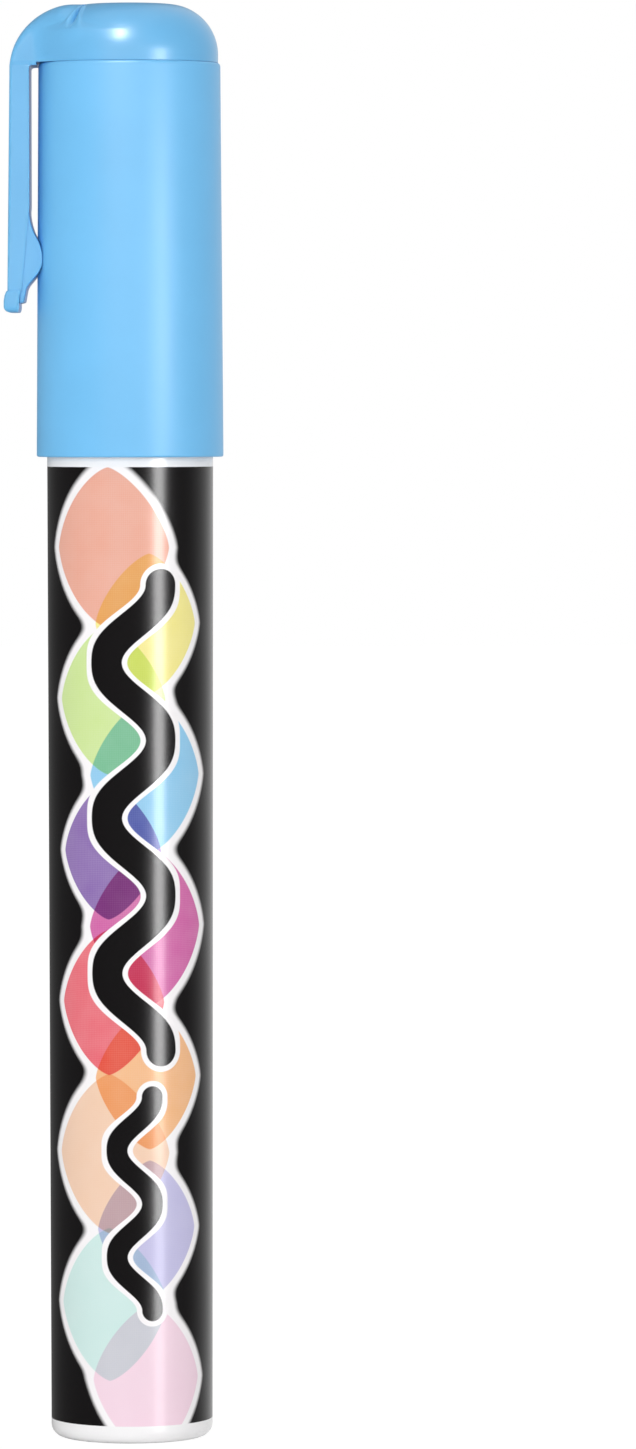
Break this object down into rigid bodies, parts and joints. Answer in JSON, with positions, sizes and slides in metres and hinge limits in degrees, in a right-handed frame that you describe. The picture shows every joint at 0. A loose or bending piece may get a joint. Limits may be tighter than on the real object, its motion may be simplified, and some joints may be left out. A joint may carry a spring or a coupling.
{
  "type": "liquid chalk marker",
  "caption": "Round liquid chalk marker with a push-on domed cap, a springy pocket clip, a stepped nose, a chisel felt nib and a pump valve inside a labelled barrel.",
  "frame": {"origin": "middle of the flat tail that the marker stands on", "axes": "+Z along the marker from the tail to the cap's dome; the pocket clip is on the -X side"},
  "size_m": [0.0214, 0.0182, 0.14],
  "materials": {
    "barrel_white": "gloss",
    "label_print": "gloss",
    "sky_blue": "satin",
    "felt": "matte",
    "valve_plastic": "satin",
    "seal_plastic": "satin",
    "spring_steel": "satin",
    "ball_steel": "polished"
  },
  "bodies": {
    "barrel": {"barrel": "barrel_white", "label_film": "label_print", "nose_section": "sky_blue", "valve_seat": "valve_plastic", "spring_cage": "valve_plastic", "valve_spring": "spring_steel"},
    "cap": {"cap_sleeve": "sky_blue", "cap_top": "sky_blue", "inner_cap": "seal_plastic"},
    "clip": {"pocket_clip": "sky_blue"},
    "nib": {"nib": "felt"},
    "valve_stem": {"valve_stem": "valve_plastic"},
    "left_ball": {"mixing_ball_left": "ball_steel"},
    "right_ball": {"mixing_ball_right": "ball_steel"}
  },
  "joints": [
    {"name": "cap_pull", "type": "slide", "parent": "barrel", "child": "cap", "axis": [0, 0, 1], "range_m": [0, 0.045]},
    {"name": "clip_flex", "type": "hinge", "parent": "cap", "child": "clip", "pos_m": [-0.01185, 0, 0.1343], "axis": [0, 1, 0], "range_deg": [0, 5], "stiffness_Nm_per_rad": 0.9},
    {"name": "nib_press", "type": "slide", "parent": "barrel", "child": "nib", "axis": [0, 0, -1], "range_m": [0, 0.0025], "stiffness_N_per_m": 600},
    {"name": "valve_open", "type": "slide", "parent": "barrel", "child": "valve_stem", "axis": [0, 0, -1], "range_m": [0, 0.0025], "deforming": ["valve_spring"]},
    {"name": "left_ball_slide", "type": "slide", "parent": "barrel", "child": "left_ball", "axis": [0, 0, 1], "range_m": [0, 0.08]},
    {"name": "right_ball_slide", "type": "slide", "parent": "barrel", "child": "right_ball", "axis": [0, 0, 1], "range_m": [0, 0.08]}
  ],
  "couplings": [
    {"joint": "valve_open", "follows": "nib_press", "ratio": 1}
  ]
}
